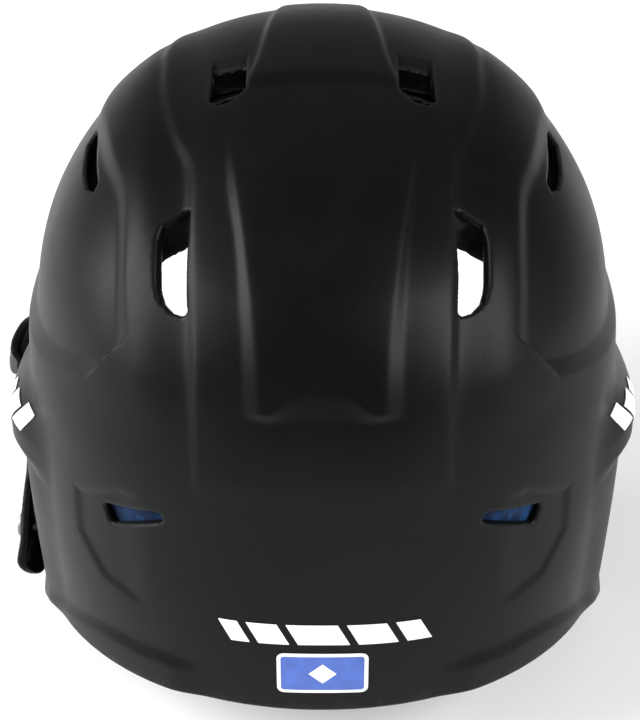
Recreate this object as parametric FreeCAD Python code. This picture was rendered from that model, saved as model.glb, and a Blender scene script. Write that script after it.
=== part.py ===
import FreeCAD, Part
import math
import os

# Batting helmet with a bolt-on jaw guard. Millimetres. +Z up, +Y towards the back of the head, so the
# brim points along -Y and the wearer's left is +X. z = 0 is the flat lower edge of the ear flaps.

V = FreeCAD.Vector
X_AXIS = V(1, 0, 0)
Z_AXIS = V(0, 0, 1)

# ---- dome: a superellipsoid with a longer front half, and walls that close in slowly below ----
HALF_WIDTH = 102.4
BACK_REACH = 110.0
FRONT_REACH = 130.0
WIDEST_Z = 130.0
CROWN_RISE = 98.0
WALL_DROP = 390.0
PLAN_EXPONENT_TOP = 2.10
PLAN_EXPONENT_LOW = 2.40
SIDE_EXPONENT = 2.14
SHELL_T = 4.0
FLOOR_Z = -14.0
RING_POINTS = 48

# ---- ridge that sweeps over the ear, and the ear flap below it ----
RIDGE_OUT = 8.5
RIDGE_TOP_Z = 127.5
RIDGE_CREST = (102.5, 108.5)
RIDGE_UNDERCUT = 9.0
RIDGE_DROP = 16.0
RIDGE_DROP_AZIMUTHS = (70.0, 120.0)
RIDGE_AZIMUTHS = (58.0, 76.0, 124.0, 160.0)
FLAP_SHARE = 0.58
FLAP_LIP_OUT = 2.6
FLAP_LIP_Z = (14.0, 27.0)

# ---- lower edge of the shell, seen from the side ----
NECK_Z = 46.0
NECK_Y = 108.0
NECK_RUN = 80.0
NECK_FALL = 25.8
NECK_POWER = 2.25
FLAP_BACK_Y = 5.0
FACE_LINE = [(-46, 0), (-57, 9), (-62, 34), (-70, 66), (-88, 95), (-112, 111), (-140, 117)]

# ---- brim ----
BRIM_T = 3.6
BRIM_RADIUS = 200.0
BRIM_ROOT_Z = 128.0
BRIM_ROOT_Y = -110.0
BRIM_PITCH = 11.0
BRIM_HALF_WIDTH = 90.0
BRIM_CENTRE_Y = -55.0
BRIM_LENGTH = 129.0
BRIM_LOW_Z = 70.0
BRIM_TUBE_HALF = 100.0
BRIM_TUBE_SHIFT = 20.0

# ---- ear holes ----
EAR_Y = -8.0
EAR_Z = 58.0
EAR_HALF_LENGTH = 19.0
EAR_HALF_HEIGHT = 21.0
EAR_INNER_X = 50.0

# ---- raised and recessed panels: plan outlines of the wearer's-left half, (x, y) ----
CENTRE_PANEL = [(13, -125), (17.5, -68), (22, -22), (25.5, 0), (29, 35), (27.5, 52), (23.5, 84), (21.5, 108)]
SHOULDER_PANEL = [(38, -120), (52, -70), (54.5, -40), (52.5, -5), (44, 29), (41.5, 60), (40.3, 112)]
SIDE_PANEL_EDGE = [(64, -86), (77, -34), (74, -7), (69, 15), (64, 34), (62, 76), (62, 96)]
SIDE_PANEL_LOW = [(80, 188), (75, 177), (70, 160), (51, 150), (20, 146), (-40, 148), (-72, 168), (-80, 190)]
SHOULDER_LIFT = 0.4
SHOULDER_FADE = (140.0, 162.0)
CENTRE_LIFT = 0.9
CENTRE_FADE = (162.0, 178.0)
SIDE_RECESS = 0.8
PANEL_SUNK = -0.6

# ---- vents: centre on the shell, direction of the slot, length, width; each has a mirrored twin ----
VENTS = {
    "main": (V(48.5, 65, 200), V(0.03, 0.81, -0.58), 34.0, 9.5),
    "top": (V(31, -9, 224), V(0, 1, 0), 26.0, 9.0),
    "side": (V(78, 1.5, 196), V(0, 1, 0.05), 38.0, 5.0),
    "rear": (V(62, 92, 119), V(0.75, -0.5, -0.42), 27.0, 7.0),
    "front": (V(30, -95, 194.7), V(0.1, -0.75, -0.65), 28.0, 8.0),
}
VENT_REACH = 14.0
LINER_VENT_EXTRA = 2.0
LINER_VENTS = ("top", "side", "front")

# ---- layers inside the shell ----
LINER_GAP = 0.4
LINER_T = 11.0
PAD_GAP = 0.4
PAD_T = 7.0
EAR_PAD_T = 13.0
FAR = 160.0
LINER_FRONT = [(-58, -66), (58, -66), (40, -FAR), (-40, -FAR)]
LINER_FRONT_Z = (130.0, 206.0)
LINER_CROWN_HALF = [(37, -58), (37, 26), (57, 26), (57, 49)]
LINER_CROWN_Z = (180.0, 240.0)
LINER_REAR = [(-38, 60), (38, 60), (38, FAR), (-38, FAR)]
LINER_REAR_Z = (62.0, 200.0)
LINER_SIDE = [(44, -58), (44, 22), (FAR, 22), (FAR, -90)]
LINER_SIDE_Z = (104.0, 188.0)
LINER_CORNER = [(41, 28), (41, FAR), (FAR, FAR), (FAR, 28)]
LINER_CORNER_Z = (64.0, 171.0)
PAD_BROW = [(-56, -66), (56, -66), (44, -FAR), (-44, -FAR)]
PAD_BROW_Z = (132.0, 166.0)
PAD_CROWN = [(-26, -44), (26, -44), (26, 30), (-26, 30)]
PAD_CROWN_Z = (170.0, 240.0)
PAD_TEMPLE = [(48, -52), (48, 16), (FAR, 16), (FAR, -84)]
PAD_TEMPLE_Z = (108.0, 150.0)
PAD_NAPE = [(5, 30), (5, FAR), (FAR, FAR), (FAR, 30)]
PAD_NAPE_Z = (68.0, 112.0)
EAR_PAD_OUTLINE = [
    (-44, 9), (-54, 24), (-56, 52), (-52, 82), (-28, 96), (8, 96), (24, 80), (26, 50), (14, 24), (-6, 9)
]
EAR_PAD_CLEARANCE = 2.0

# ---- jaw guard, on the wearer's left ----
GUARD_GAP = 7.6
GUARD_T = 4.0
GUARD_OUTLINE_TOP = [(-40, 88), (-60, 86), (-84, 68), (-104, 52), (-116, 38)]
GUARD_OUTLINE_LOW = [(-116, 38), (-119, 24), (-112, 9), (-88, 3), (-40, 2), (-4, 3)]
GUARD_OUTLINE_BACK = [(-4, 3), (6, 14), (1, 29), (-24, 36), (-34, 54), (-35, 80), (-40, 88)]
GUARD_CURL = 5.0
GUARD_CURL_Z = 17.0
GUARD_PAD_T = 8.0
GUARD_PAD_OUTLINE = [(-76, 60), (-96, 48), (-108, 36), (-110, 22), (-104, 14), (-80, 10), (-74, 30)]
SCREW_SPOTS = [(-46, 77), (-45, 40), (-16, 17)]
SLIDE_TILT = 12.0
SLIDE_TRAVEL = 4.0
SCREW_R = 2.4
SCREW_HEAD_R = 5.2
SCREW_HEAD_T = 2.4
SCREW_DRIVE_R = 2.6
SCREW_DRIVE_W = 1.1
SCREW_CLEARANCE = 0.3
SPOT_FACE_DEPTH = 1.2
NUT_FLANGE_R = 6.0
NUT_FLANGE_T = 1.5
NUT_BARREL_R = 3.6
NUT_FLANGE_GAP = 2.4
NUT_SHORT = 1.6
FIT_GAP = 0.1
NUT_HOLE_GAP = 0.3
BUSHING_R = 6.0
BUSHING_SINK = 0.9
BUSHING_TOP_GAP = 3.0
BUSHING_SEAT_GAP = 0.4
BUSHING_HOLE_R = 2.8
CAP_R = 7.5
CAP_T = 3.4
CAP_LIFT = 1.0
CAP_ROUND = 1.2
CAP_HOLLOW = 1.2
CAP_FIT = 0.5
CAP_CLEARANCE = 0.5
SCREW_DRIVE_DEPTH = 1.2
SCREW_HEAD_ROUND = 0.9
SLOT_FIT = 0.6
SHANK_FIT = 0.3
OVERRUN = 2.0

# ---- trim on the outside ----
TRIM_LIFT = 0.05
TRIM_T = 0.35
REAR_BARS = [(-36, 8), (-25, 13), (-9, 17), (11, 10), (24, 6)]
REAR_BAR_Z = (78.0, 87.0)
BAR_SLANT = 4.0
SIDE_BARS = [(9, 7), (19, 10), (32, 7)]
SIDE_BAR_LOW_Z = 101.0
SIDE_BAR_CLIMB = 0.3
SIDE_BAR_HEIGHT = 10.0
BADGE_Z = 64.0
BADGE_HALF_WIDTH = 15.2
BADGE_HALF_HEIGHT = 9.5
BADGE_BORDER = 1.3
BADGE_CORNER = 2.5
BADGE_MARK = 4.6

NODES = {}


def smooth(t):
    """0 below 0, 1 above 1, and an S-curve between."""
    t = min(1.0, max(0.0, t))
    return t * t * (3 - 2 * t)


def ridge(angle, z):
    """How far the wall swells out over the ear at this azimuth (radians from the back) and height."""
    azimuth = math.degrees(angle) % 360
    azimuth = min(azimuth, 360 - azimuth)
    start, full, fade, end = RIDGE_AZIMUTHS
    along = smooth((azimuth - start) / (full - start)) * smooth((end - azimuth) / (end - fade))
    first, last = RIDGE_DROP_AZIMUTHS
    level = z + RIDGE_DROP * smooth((azimuth - first) / (last - first))
    low, high = RIDGE_CREST
    if level > high:
        return RIDGE_OUT * along * smooth((RIDGE_TOP_Z - level) / (RIDGE_TOP_Z - high))
    tucked = smooth((low - level) / RIDGE_UNDERCUT)
    lip_low, lip_high = FLAP_LIP_Z
    lip = FLAP_LIP_OUT * smooth((lip_high - z) / (lip_high - lip_low))
    return along * (RIDGE_OUT * (1 - (1 - FLAP_SHARE) * tucked) + lip)


def plan_exponent(z):
    """The plan outline is rounder near the crown and squarer near the neck."""
    lean = math.atan2(z - WIDEST_Z, HALF_WIDTH)
    return PLAN_EXPONENT_TOP + (PLAN_EXPONENT_LOW - PLAN_EXPONENT_TOP) * smooth((0.35 - lean) / 0.9)


def radius_at(z, angle, grow):
    """Distance from the vertical axis to the dome grown outwards by grow."""
    exponent = plan_exponent(z)
    reach = (BACK_REACH if math.cos(angle) > 0 else FRONT_REACH) + grow
    side = abs(math.sin(angle)) / (HALF_WIDTH + grow)
    fore = abs(math.cos(angle)) / reach
    plan = (side**exponent + fore**exponent) ** (-1 / exponent)
    depth = CROWN_RISE + grow if z > WIDEST_Z else WALL_DROP
    level = min(1.0, abs(z - WIDEST_Z) / depth)
    return plan * (1 - level**SIDE_EXPONENT) ** (1 / SIDE_EXPONENT) + ridge(angle, z)


def ring(z, grow):
    """Closed smooth curve round the dome at one height."""
    points = []
    for step in range(RING_POINTS):
        angle = 2 * math.pi * step / RING_POINTS
        r = radius_at(z, angle, grow)
        points.append(V(r * math.sin(angle), r * math.cos(angle), z))
    even = [step / RING_POINTS for step in range(RING_POINTS + 1)]
    curve = Part.BSplineCurve()
    curve.interpolate(Points=points, PeriodicFlag=True, Parameters=even)
    return Part.Wire(curve.toShape())


def dome(lift):
    """Solid dome. lift is a number, or a function of height, that grows it outwards."""
    grow_at = lift if callable(lift) else (lambda z: lift)
    heights = [FLOOR_Z, -4, 5, 11, 16, 21, 26, 34, 46, 58, 66, 72, 78, 83, 88, 93, 98, 103, 108, 113, 118, 124, WIDEST_Z]
    wires = [ring(z, grow_at(z)) for z in heights]
    for turn in (12, 24, 36, 46, 55, 63, 70, 76, 81, 85, 87.5):
        rise = math.sin(math.radians(turn)) ** (2 / SIDE_EXPONENT)
        grow = grow_at(WIDEST_Z + CROWN_RISE * rise)
        wires.append(ring(WIDEST_Z + (CROWN_RISE + grow) * rise, grow))
    return Part.makeLoft(wires, True, False)


def spline(points):
    """Smooth edge through (u, v) pairs already turned into vectors."""
    curve = Part.BSplineCurve()
    curve.interpolate(points)
    return curve.toShape()


def side_prism(edges, x_low, x_high):
    """Solid between two x positions whose outline is made of edges drawn in the plane x = 0."""
    face = Part.Face(Part.Wire(edges))
    face.translate(V(x_low, 0, 0))
    return face.extrude(V(x_high - x_low, 0, 0))


def side_polygon(pairs, x_low, x_high):
    """The same, for straight edges through (y, z) pairs."""
    points = [V(0, y, z) for y, z in pairs]
    return side_prism(Part.makePolygon(points + points[:1]).Edges, x_low, x_high)


def plan_polygon(pairs, z_low, z_high):
    """Upright prism whose plan is a polygon through (x, y) pairs."""
    points = [V(x, y, z_low) for x, y in pairs]
    face = Part.Face(Part.makePolygon(points + points[:1]))
    return face.extrude(V(0, 0, z_high - z_low))


def mirrored(shape):
    """The wearer's-right twin of a wearer's-left shape."""
    return shape.mirror(V(0, 0, 0), X_AXIS)


def both_sides(shape):
    """The shape together with its twin."""
    return Part.makeCompound([shape, mirrored(shape)])


def neck_line(y):
    """Height of the lower edge behind the ear flap."""
    return NECK_Z - NECK_FALL * (max(0.0, NECK_Y - y) / NECK_RUN) ** NECK_POWER


def open_below():
    """Everything under the shell's lower edge: neck line, flap bottoms and face line."""
    rear = [V(0, y, neck_line(y)) for y in (NECK_Y, 88, 68, 48, 30, 16)] + [V(0, FLAP_BACK_Y - 12, 0)]
    face = [V(0, y, z) for y, z in FACE_LINE]
    edges = [
        Part.makeLine(V(0, FAR, NECK_Z), rear[0]),
        spline(rear),
        Part.makeLine(rear[-1], face[0]),
        spline(face),
        Part.makeLine(face[-1], V(0, -FAR, face[-1].z)),
        Part.makeLine(V(0, -FAR, face[-1].z), V(0, -FAR, -60)),
        Part.makeLine(V(0, -FAR, -60), V(0, FAR, -60)),
        Part.makeLine(V(0, FAR, -60), V(0, FAR, NECK_Z)),
    ]
    return side_prism(edges, -FAR, FAR)


def raised_panel(outline, lift, fade):
    """A thicker stretch of dome inside a plan outline, sinking into the wall as it fades downwards."""
    def lift_at(z):
        return PANEL_SUNK + (lift - PANEL_SUNK) * smooth((z - fade[0]) / (fade[1] - fade[0]))

    right = [(-x, y) for x, y in reversed(outline)]
    return dome(lift_at).common(plan_polygon(outline + right, fade[0] - 4, 260))


def side_recess():
    """What is taken off the outside to sink the panel above one ear."""
    layer = dome(4.0).cut(dome(-SIDE_RECESS))
    plan = plan_polygon(SIDE_PANEL_EDGE + [(FAR, 96), (FAR, -86)], 120, 260)
    side = side_polygon(SIDE_PANEL_LOW + [(-60, 250), (60, 250)], 40, FAR)
    return layer.common(plan).common(side)


def surface_normal(point):
    """Outward direction of the dome near a point of its upper half."""
    reach = BACK_REACH if point.y > 0 else FRONT_REACH
    rise = CROWN_RISE if point.z > WIDEST_Z else WALL_DROP
    normal = V(point.x / HALF_WIDTH**2, point.y / reach**2, (point.z - WIDEST_Z) / rise**2)
    return normal.normalize()


def slot_cutter(centre, along, length, width, reach):
    """Round-ended slot through the wall, square to the surface."""
    out = surface_normal(centre)
    run = (along - out * along.dot(out)).normalize()
    across = out.cross(run)
    half = (length - width) / 2
    start = centre - out * reach
    a = start + run * half + across * (width / 2)
    b = start - run * half + across * (width / 2)
    c = start - run * half - across * (width / 2)
    d = start + run * half - across * (width / 2)
    edges = [
        Part.makeLine(a, b),
        Part.Arc(b, start - run * (length / 2), c).toShape(),
        Part.makeLine(c, d),
        Part.Arc(d, start + run * (length / 2), a).toShape(),
    ]
    return Part.Face(Part.Wire(edges)).extrude(out * (2 * reach))


def vents(extra, names):
    """Cutters for the named vents of both sides, widened by extra."""
    cutters = []
    for name in names:
        centre, along, length, width = VENTS[name]
        one = slot_cutter(centre, along, length + extra, width + extra, VENT_REACH + extra)
        cutters += [one, mirrored(one)]
    return Part.makeCompound(cutters)


def ear_hole(extra):
    """Oval hole across one ear flap, widened by extra."""
    oval = Part.Ellipse(
        V(0, EAR_Y, EAR_Z + EAR_HALF_HEIGHT + extra),
        V(0, EAR_Y + EAR_HALF_LENGTH + extra, EAR_Z),
        V(0, EAR_Y, EAR_Z),
    )
    return side_prism([oval.toShape()], EAR_INNER_X, FAR)


def brim(inside):
    """Arched visor that grows out of the front of the shell and points slightly down."""
    pitch = math.radians(BRIM_PITCH)
    ahead = V(0, -math.cos(pitch), -math.sin(pitch))
    axis_start = V(0, BRIM_ROOT_Y, BRIM_ROOT_Z - BRIM_RADIUS) - ahead * (BRIM_TUBE_HALF - BRIM_TUBE_SHIFT)
    tube = Part.makeCylinder(BRIM_RADIUS, 2 * BRIM_TUBE_HALF, axis_start, ahead)
    tube = tube.cut(Part.makeCylinder(BRIM_RADIUS - BRIM_T, 2 * BRIM_TUBE_HALF, axis_start, ahead))
    ellipse = Part.Ellipse(
        V(0, BRIM_CENTRE_Y - BRIM_LENGTH, BRIM_LOW_Z),
        V(BRIM_HALF_WIDTH, BRIM_CENTRE_Y, BRIM_LOW_Z),
        V(0, BRIM_CENTRE_Y, BRIM_LOW_Z),
    )
    plan = Part.Face(Part.Wire(ellipse.toShape()))
    return tube.common(plan.extrude(V(0, 0, BRIM_RADIUS / 2))).cut(inside)


def slide_axes():
    """Unit vectors of the jaw guard's slide (forwards) and of its screws (outwards)."""
    tilt = math.radians(SLIDE_TILT)
    return V(-math.sin(tilt), -math.cos(tilt), 0), V(math.cos(tilt), -math.sin(tilt), 0)


def spot_on(y, z, grow):
    """Point of the grown wall at a given y and z on the wearer's left."""
    angle = math.pi / 2
    for _ in range(30):
        r = radius_at(z, angle, grow)
        angle = math.acos(max(-0.99, min(0.99, y / r)))
    return V(r * math.sin(angle), y, z)


def wall_behind(point, out, grow):
    """Where a line running inwards from a point, against out, meets the grown wall."""
    hit = point
    for _ in range(20):
        wall = radius_at(hit.z, math.atan2(hit.x, hit.y), grow)
        hit = hit - out * (math.hypot(hit.x, hit.y) - wall)
    return hit


def screw_stations():
    """For each guard screw: its point on the guard's face, on the flap's outside and on its inside."""
    out = slide_axes()[1]
    stations = []
    for y, z in SCREW_SPOTS:
        face = spot_on(y, z, GUARD_GAP + GUARD_T)
        stations.append((face, wall_behind(face, out, 0.0), wall_behind(face, out, -SHELL_T)))
    return stations


def outer_shell():
    """The moulded shell: dome, panels, ear flaps, brim, vents and ear holes in one piece."""
    inside = dome(-SHELL_T)
    body = dome(0.0)
    body = body.fuse(raised_panel(SHOULDER_PANEL, SHOULDER_LIFT, SHOULDER_FADE))
    body = body.fuse(raised_panel(CENTRE_PANEL, CENTRE_LIFT, CENTRE_FADE))
    recess = side_recess()
    body = body.cut(recess).cut(mirrored(recess))
    body = body.cut(inside).cut(open_below())
    body = body.fuse(brim(inside))
    out = slide_axes()[1]
    spots = [station[1] for station in screw_stations()]
    nut_holes = [Part.makeCylinder(NUT_BARREL_R + NUT_HOLE_GAP, 24, spot - out * 12, out) for spot in spots]
    body = body.cut(Part.makeCompound(nut_holes + [both_sides(ear_hole(0.0))]))
    return body.cut(vents(0.0, VENTS))


def layer(outer, thickness):
    """Everything between two depths inside the outer skin."""
    return dome(-outer).cut(dome(-(outer + thickness)))


def impact_liner():
    """Foam blocks against the inside of the shell, with gaps between them where the air runs."""
    skin = layer(SHELL_T + LINER_GAP, LINER_T)
    aired = skin.cut(vents(LINER_VENT_EXTRA, LINER_VENTS))
    crown = LINER_CROWN_HALF + [(-x, y) for x, y in reversed(LINER_CROWN_HALF)]
    NODES["liner_front"] = aired.common(plan_polygon(LINER_FRONT, *LINER_FRONT_Z))
    NODES["liner_crown"] = aired.common(plan_polygon(crown, *LINER_CROWN_Z))
    NODES["liner_rear"] = aired.common(plan_polygon(LINER_REAR, *LINER_REAR_Z))
    NODES["liner_side_left"] = aired.common(plan_polygon(LINER_SIDE, *LINER_SIDE_Z))
    NODES["liner_side_right"] = mirrored(NODES["liner_side_left"])
    NODES["liner_corner_left"] = skin.common(plan_polygon(LINER_CORNER, *LINER_CORNER_Z))
    NODES["liner_corner_right"] = mirrored(NODES["liner_corner_left"])


def comfort_pads():
    """Fabric-covered pads that touch the head."""
    skin = layer(SHELL_T + LINER_GAP + LINER_T + PAD_GAP, PAD_T)
    NODES["pad_brow"] = skin.common(plan_polygon(PAD_BROW, *PAD_BROW_Z))
    NODES["pad_crown"] = skin.common(plan_polygon(PAD_CROWN, *PAD_CROWN_Z))
    NODES["pad_temple_left"] = skin.common(plan_polygon(PAD_TEMPLE, *PAD_TEMPLE_Z))
    NODES["pad_temple_right"] = mirrored(NODES["pad_temple_left"])
    NODES["pad_nape_left"] = skin.common(plan_polygon(PAD_NAPE, *PAD_NAPE_Z))
    NODES["pad_nape_right"] = mirrored(NODES["pad_nape_left"])


def closed_spline(pairs):
    """Closed smooth edge through (y, z) pairs."""
    curve = Part.BSplineCurve()
    curve.interpolate(Points=[V(0, y, z) for y, z in pairs], PeriodicFlag=True)
    return curve.toShape()


def ear_pads():
    """Ring-shaped pads on the inside of the ear flaps."""
    skin = layer(SHELL_T + LINER_GAP, EAR_PAD_T)
    pad = skin.common(side_prism([closed_spline(EAR_PAD_OUTLINE)], 40, FAR)).cut(ear_hole(EAR_PAD_CLEARANCE))
    NODES["pad_ear_right"] = mirrored(pad)
    out = slide_axes()[1]
    for _, _, wall_in in screw_stations():
        depth = NUT_FLANGE_T + NUT_FLANGE_GAP + 1.0
        pocket = Part.makeCylinder(NUT_FLANGE_R + 1.0, depth + 8, wall_in - out * depth, out)
        pad = pad.cut(pocket)
    NODES["pad_ear_left"] = pad


def slot_along(centre, half_travel, r, length, ahead, out):
    """Round-ended slot that lets a round thing of radius r slide by half_travel each way."""
    ends = [centre + ahead * half_travel, centre - ahead * half_travel]
    slot = Part.makeCylinder(r, length, ends[0], out)
    slot = slot.fuse(Part.makeCylinder(r, length, ends[1], out))
    up = Z_AXIS * r
    corners = [ends[0] + up, ends[1] + up, ends[1] - up, ends[0] - up]
    face = Part.Face(Part.makePolygon(corners + corners[:1]))
    return slot.fuse(face.extrude(out * length)).removeSplitter()


def guard_lift(z):
    """Gap between the flap and the guard, which curls in towards its lower edge."""
    return GUARD_GAP - GUARD_CURL * smooth((GUARD_CURL_Z - z) / GUARD_CURL_Z)


def jaw_guard():
    """Curved plate over the lower flap and the jaw, its pad, and the screws and nuts that hold it."""
    ahead, out = slide_axes()
    plate = dome(lambda z: guard_lift(z) + GUARD_T).cut(dome(guard_lift))
    outline = []
    for pairs in (GUARD_OUTLINE_TOP, GUARD_OUTLINE_LOW, GUARD_OUTLINE_BACK):
        outline.append(spline([V(0, y, z) for y, z in pairs]))
    plate = plate.common(side_prism(outline, 20, FAR))
    screws, nuts, bushings = [], [], []
    for face, wall_out, wall_in in screw_stations():
        seat = face - out * SPOT_FACE_DEPTH
        plate = plate.cut(slot_along(seat, SLIDE_TRAVEL, SCREW_HEAD_R + SLOT_FIT, 3 * GUARD_T, ahead, out))
        plate = plate.cut(slot_along(face - out * (3 * GUARD_T), SLIDE_TRAVEL, SCREW_R + SHANK_FIT, 5 * GUARD_T, ahead, out))
        screws.append(screw(seat + out * SCREW_CLEARANCE, wall_in, out))
        nuts.append(nut(wall_in, wall_out, out))
        bushings.append(bushing(wall_out, face, out))
    NODES["jaw_guard"] = plate
    NODES["guard_screws"] = Part.makeCompound(screws)
    NODES["guard_nuts"] = Part.makeCompound(nuts)
    NODES["guard_bushings"] = Part.makeCompound(bushings).cut(dome(BUSHING_SEAT_GAP))
    NODES["guard_cap"] = cap(screw_stations()[0][0], ahead, out)
    pad = dome(lambda z: guard_lift(z) - FIT_GAP).cut(dome(lambda z: guard_lift(z) - FIT_GAP - GUARD_PAD_T))
    NODES["jaw_guard_pad"] = pad.common(side_prism([closed_spline(GUARD_PAD_OUTLINE)], 20, FAR))


def screw(seat, wall_in, out):
    """Pan-head screw with a cross recess; its shank ends level with the nut's flange."""
    head = Part.makeCylinder(SCREW_HEAD_R, SCREW_HEAD_T, seat, out)
    rim = [e for e in head.Edges if abs((e.CenterOfMass - seat).dot(out) - SCREW_HEAD_T) < 0.01]
    head = head.makeFillet(SCREW_HEAD_ROUND, rim)
    length = (seat - wall_in).dot(out) + NUT_FLANGE_T
    body = head.fuse(Part.makeCylinder(SCREW_R, length, seat - out * length, out))
    across = out.cross(Z_AXIS)
    deep = seat + out * (SCREW_HEAD_T - SCREW_DRIVE_DEPTH)
    for first, second in ((across, Z_AXIS), (Z_AXIS, across)):
        a = deep + first * SCREW_DRIVE_R + second * (SCREW_DRIVE_W / 2)
        b = deep - first * SCREW_DRIVE_R + second * (SCREW_DRIVE_W / 2)
        c = deep - first * SCREW_DRIVE_R - second * (SCREW_DRIVE_W / 2)
        d = deep + first * SCREW_DRIVE_R - second * (SCREW_DRIVE_W / 2)
        body = body.cut(Part.Face(Part.makePolygon([a, b, c, d, a])).extrude(out * (SCREW_DRIVE_DEPTH + OVERRUN)))
    return body


def nut(wall_in, wall_out, out):
    """Flanged barrel nut through the flap's wall."""
    start = wall_in - out * (NUT_FLANGE_T + NUT_FLANGE_GAP)
    barrel = (wall_out - start).dot(out) - NUT_SHORT
    body = Part.makeCylinder(NUT_FLANGE_R, NUT_FLANGE_T, start, out)
    body = body.fuse(Part.makeCylinder(NUT_BARREL_R, barrel, start, out))
    return body.cut(Part.makeCylinder(SCREW_R + FIT_GAP, barrel + 2 * OVERRUN, start - out * OVERRUN, out))


def bushing(wall_out, face, out):
    """Rubber bushing that holds the guard off the flap."""
    start = wall_out - out * BUSHING_SINK
    height = (face - start).dot(out) - GUARD_T - BUSHING_TOP_GAP
    body = Part.makeCylinder(BUSHING_R, height, start, out)
    return body.cut(Part.makeCylinder(BUSHING_HOLE_R, height + 2 * OVERRUN, start - out * OVERRUN, out))


def cap(face, ahead, out):
    """Round cover over the head of the top screw, trimmed so that the guard slides clear of it."""
    start = face + out * CAP_LIFT
    body = Part.makeCylinder(CAP_R, CAP_T, start, out)
    rim = [e for e in body.Edges if abs((e.CenterOfMass - start).dot(out) - CAP_T) < 0.01]
    body = body.makeFillet(CAP_ROUND, rim)
    body = body.cut(Part.makeCylinder(SCREW_HEAD_R + CAP_FIT, CAP_HOLLOW + OVERRUN, start - out * OVERRUN, out))
    guard_face = dome(lambda z: guard_lift(z) + GUARD_T + CAP_CLEARANCE)
    for travel in (-SLIDE_TRAVEL, 0.0, SLIDE_TRAVEL):
        body = body.cut(guard_face.translated(ahead * travel))
    return body


def slanted_bar(start, width, low, high):
    """Corners of a bar leaning by BAR_SLANT, as (across, z) pairs."""
    return [(start, low), (start + width, low), (start + width + BAR_SLANT, high), (start + BAR_SLANT, high)]


def rear_prism(pairs):
    """Prism through the back wall whose outline is a polygon of (x, z) pairs."""
    points = [V(x, 60, z) for x, z in pairs]
    return Part.Face(Part.makePolygon(points + points[:1])).extrude(V(0, 90, 0))


def badge_outline(inset):
    """Rounded rectangle seen from behind, as a prism through the back wall."""
    w = BADGE_HALF_WIDTH - inset
    h = BADGE_HALF_HEIGHT - inset
    block = Part.makeBox(2 * w, 90, 2 * h, V(-w, 60, BADGE_Z - h))
    upright = [e for e in block.Edges if abs(e.Length - 90) < 0.01]
    return block.makeFillet(max(0.6, BADGE_CORNER - inset), upright)


def trim():
    """Plain decorative bars and a badge on the outside."""
    film = dome(TRIM_LIFT + TRIM_T).cut(dome(TRIM_LIFT))
    bars = [rear_prism(slanted_bar(x, w, *REAR_BAR_Z)) for x, w in REAR_BARS]
    NODES["rear_bars"] = film.common(Part.makeCompound(bars))
    side = []
    for y, width in SIDE_BARS:
        low = SIDE_BAR_LOW_Z + SIDE_BAR_CLIMB * y
        side.append(side_polygon(slanted_bar(y, width, low, low + SIDE_BAR_HEIGHT), 60, FAR))
    NODES["side_bars_left"] = film.common(Part.makeCompound(side))
    NODES["side_bars_right"] = mirrored(NODES["side_bars_left"])
    mark = [(-BADGE_MARK, BADGE_Z), (0, BADGE_Z - BADGE_MARK), (BADGE_MARK, BADGE_Z), (0, BADGE_Z + BADGE_MARK)]
    diamond = rear_prism(mark)
    inner = badge_outline(BADGE_BORDER)
    NODES["badge_frame"] = film.common(badge_outline(0.0)).cut(inner)
    NODES["badge_field"] = film.common(inner).cut(diamond)
    NODES["badge_mark"] = film.common(diamond)


def main():
    os.makedirs("parts", exist_ok=True)
    NODES["outer_shell"] = outer_shell()
    impact_liner()
    comfort_pads()
    ear_pads()
    jaw_guard()
    trim()
    for name, shape in NODES.items():
        solids = shape.Solids
        volume = sum(s.Volume for s in solids)
        print(f"{name:20s} solids {len(solids)} volume {volume / 1000:8.2f} cm3 valid {shape.isValid()}")
        body = solids[0] if len(solids) == 1 else Part.makeCompound(solids)
        body.exportStep(f"parts/{name}.step")


main()
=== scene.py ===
import math
import bmesh
import bpy
import numpy as np
import openvdb
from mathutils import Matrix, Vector


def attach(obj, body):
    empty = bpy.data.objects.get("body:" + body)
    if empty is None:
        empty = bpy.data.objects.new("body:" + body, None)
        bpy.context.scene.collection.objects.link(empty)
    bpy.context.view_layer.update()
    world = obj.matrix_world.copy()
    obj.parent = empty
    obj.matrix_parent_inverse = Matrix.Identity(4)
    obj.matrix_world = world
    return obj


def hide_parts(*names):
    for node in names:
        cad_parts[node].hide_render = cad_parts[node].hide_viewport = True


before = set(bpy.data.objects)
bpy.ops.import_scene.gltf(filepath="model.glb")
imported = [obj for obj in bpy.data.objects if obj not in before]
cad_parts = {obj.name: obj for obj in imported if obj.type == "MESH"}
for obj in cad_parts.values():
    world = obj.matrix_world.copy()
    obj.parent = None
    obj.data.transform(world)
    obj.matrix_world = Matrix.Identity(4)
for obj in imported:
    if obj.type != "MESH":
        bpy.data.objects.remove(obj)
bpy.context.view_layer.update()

# A batting helmet. Fields and outlines are in millimetres; MM turns them into the frame's metres.
# +Y is the back of the head, +X the wearer's left, z = 0 the lower edge of the ear flaps.
MM = 0.001

# dome
HALF_WIDTH = 102.4
BACK_REACH = 110.0
FRONT_REACH = 130.0
WIDEST_Z = 130.0
CROWN_RISE = 98.0
WALL_DROP = 390.0
PLAN_EXPONENTS = (2.10, 2.40)
PLAN_LEAN = (0.35, -0.55)
SIDE_EXPONENT = 2.14
SHELL_T = 4.0

# ridge over the ear
RIDGE_OUT = 8.5
RIDGE_TOP_Z = 127.5
RIDGE_CREST = (102.5, 108.5)
RIDGE_UNDERCUT = 9.0
RIDGE_DROP = 16.0
RIDGE_DROP_AZIMUTHS = (70.0, 120.0)
RIDGE_AZIMUTHS = (58.0, 76.0, 124.0, 160.0)
FLAP_SHARE = 0.58
FLAP_LIP_OUT = 2.6
FLAP_LIP_Z = (27.0, 14.0)

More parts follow.
